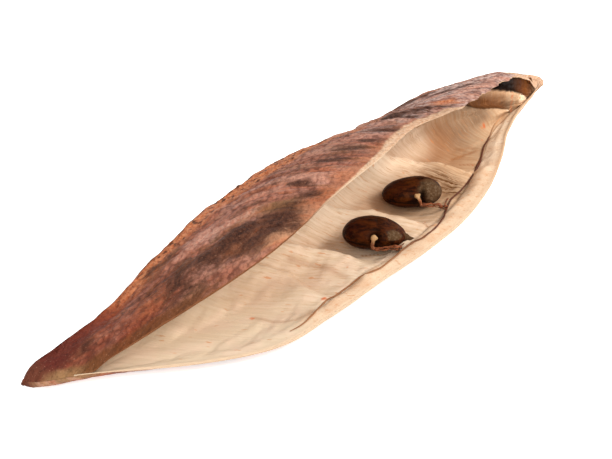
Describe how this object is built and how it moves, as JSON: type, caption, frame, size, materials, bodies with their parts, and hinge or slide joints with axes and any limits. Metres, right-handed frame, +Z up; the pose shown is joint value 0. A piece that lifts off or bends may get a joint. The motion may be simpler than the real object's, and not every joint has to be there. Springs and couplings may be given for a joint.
{
  "type": "black locust seed pod",
  "caption": "Dry, split-open legume of the black locust tree, lying on its lower valve, with brown seeds on short stalks inside its cream hollow.",
  "frame": {"origin": "under the middle of the bounding box, on the surface the pod lies on", "axes": "+X along the pod from its pointed beak to its rounded far end, -Y out of the split mouth, +Y towards the dorsal suture, +Z up"},
  "size_m": [0.0674, 0.0132, 0.0074],
  "materials": {
    "pod_wall": "dry, wrinkled, red-brown outside and cream inside",
    "seed_coat": "satin, dark brown",
    "seed_stalk": "dry, fibrous"
  },
  "bodies": {
    "root": {"pod_shell": "pod_wall", "placental_strand": "seed_stalk", "seed_near": "seed_coat", "seed_far": "seed_coat", "funicle_near": "seed_stalk", "funicle_far": "seed_stalk"}
  },
  "joints": []
}
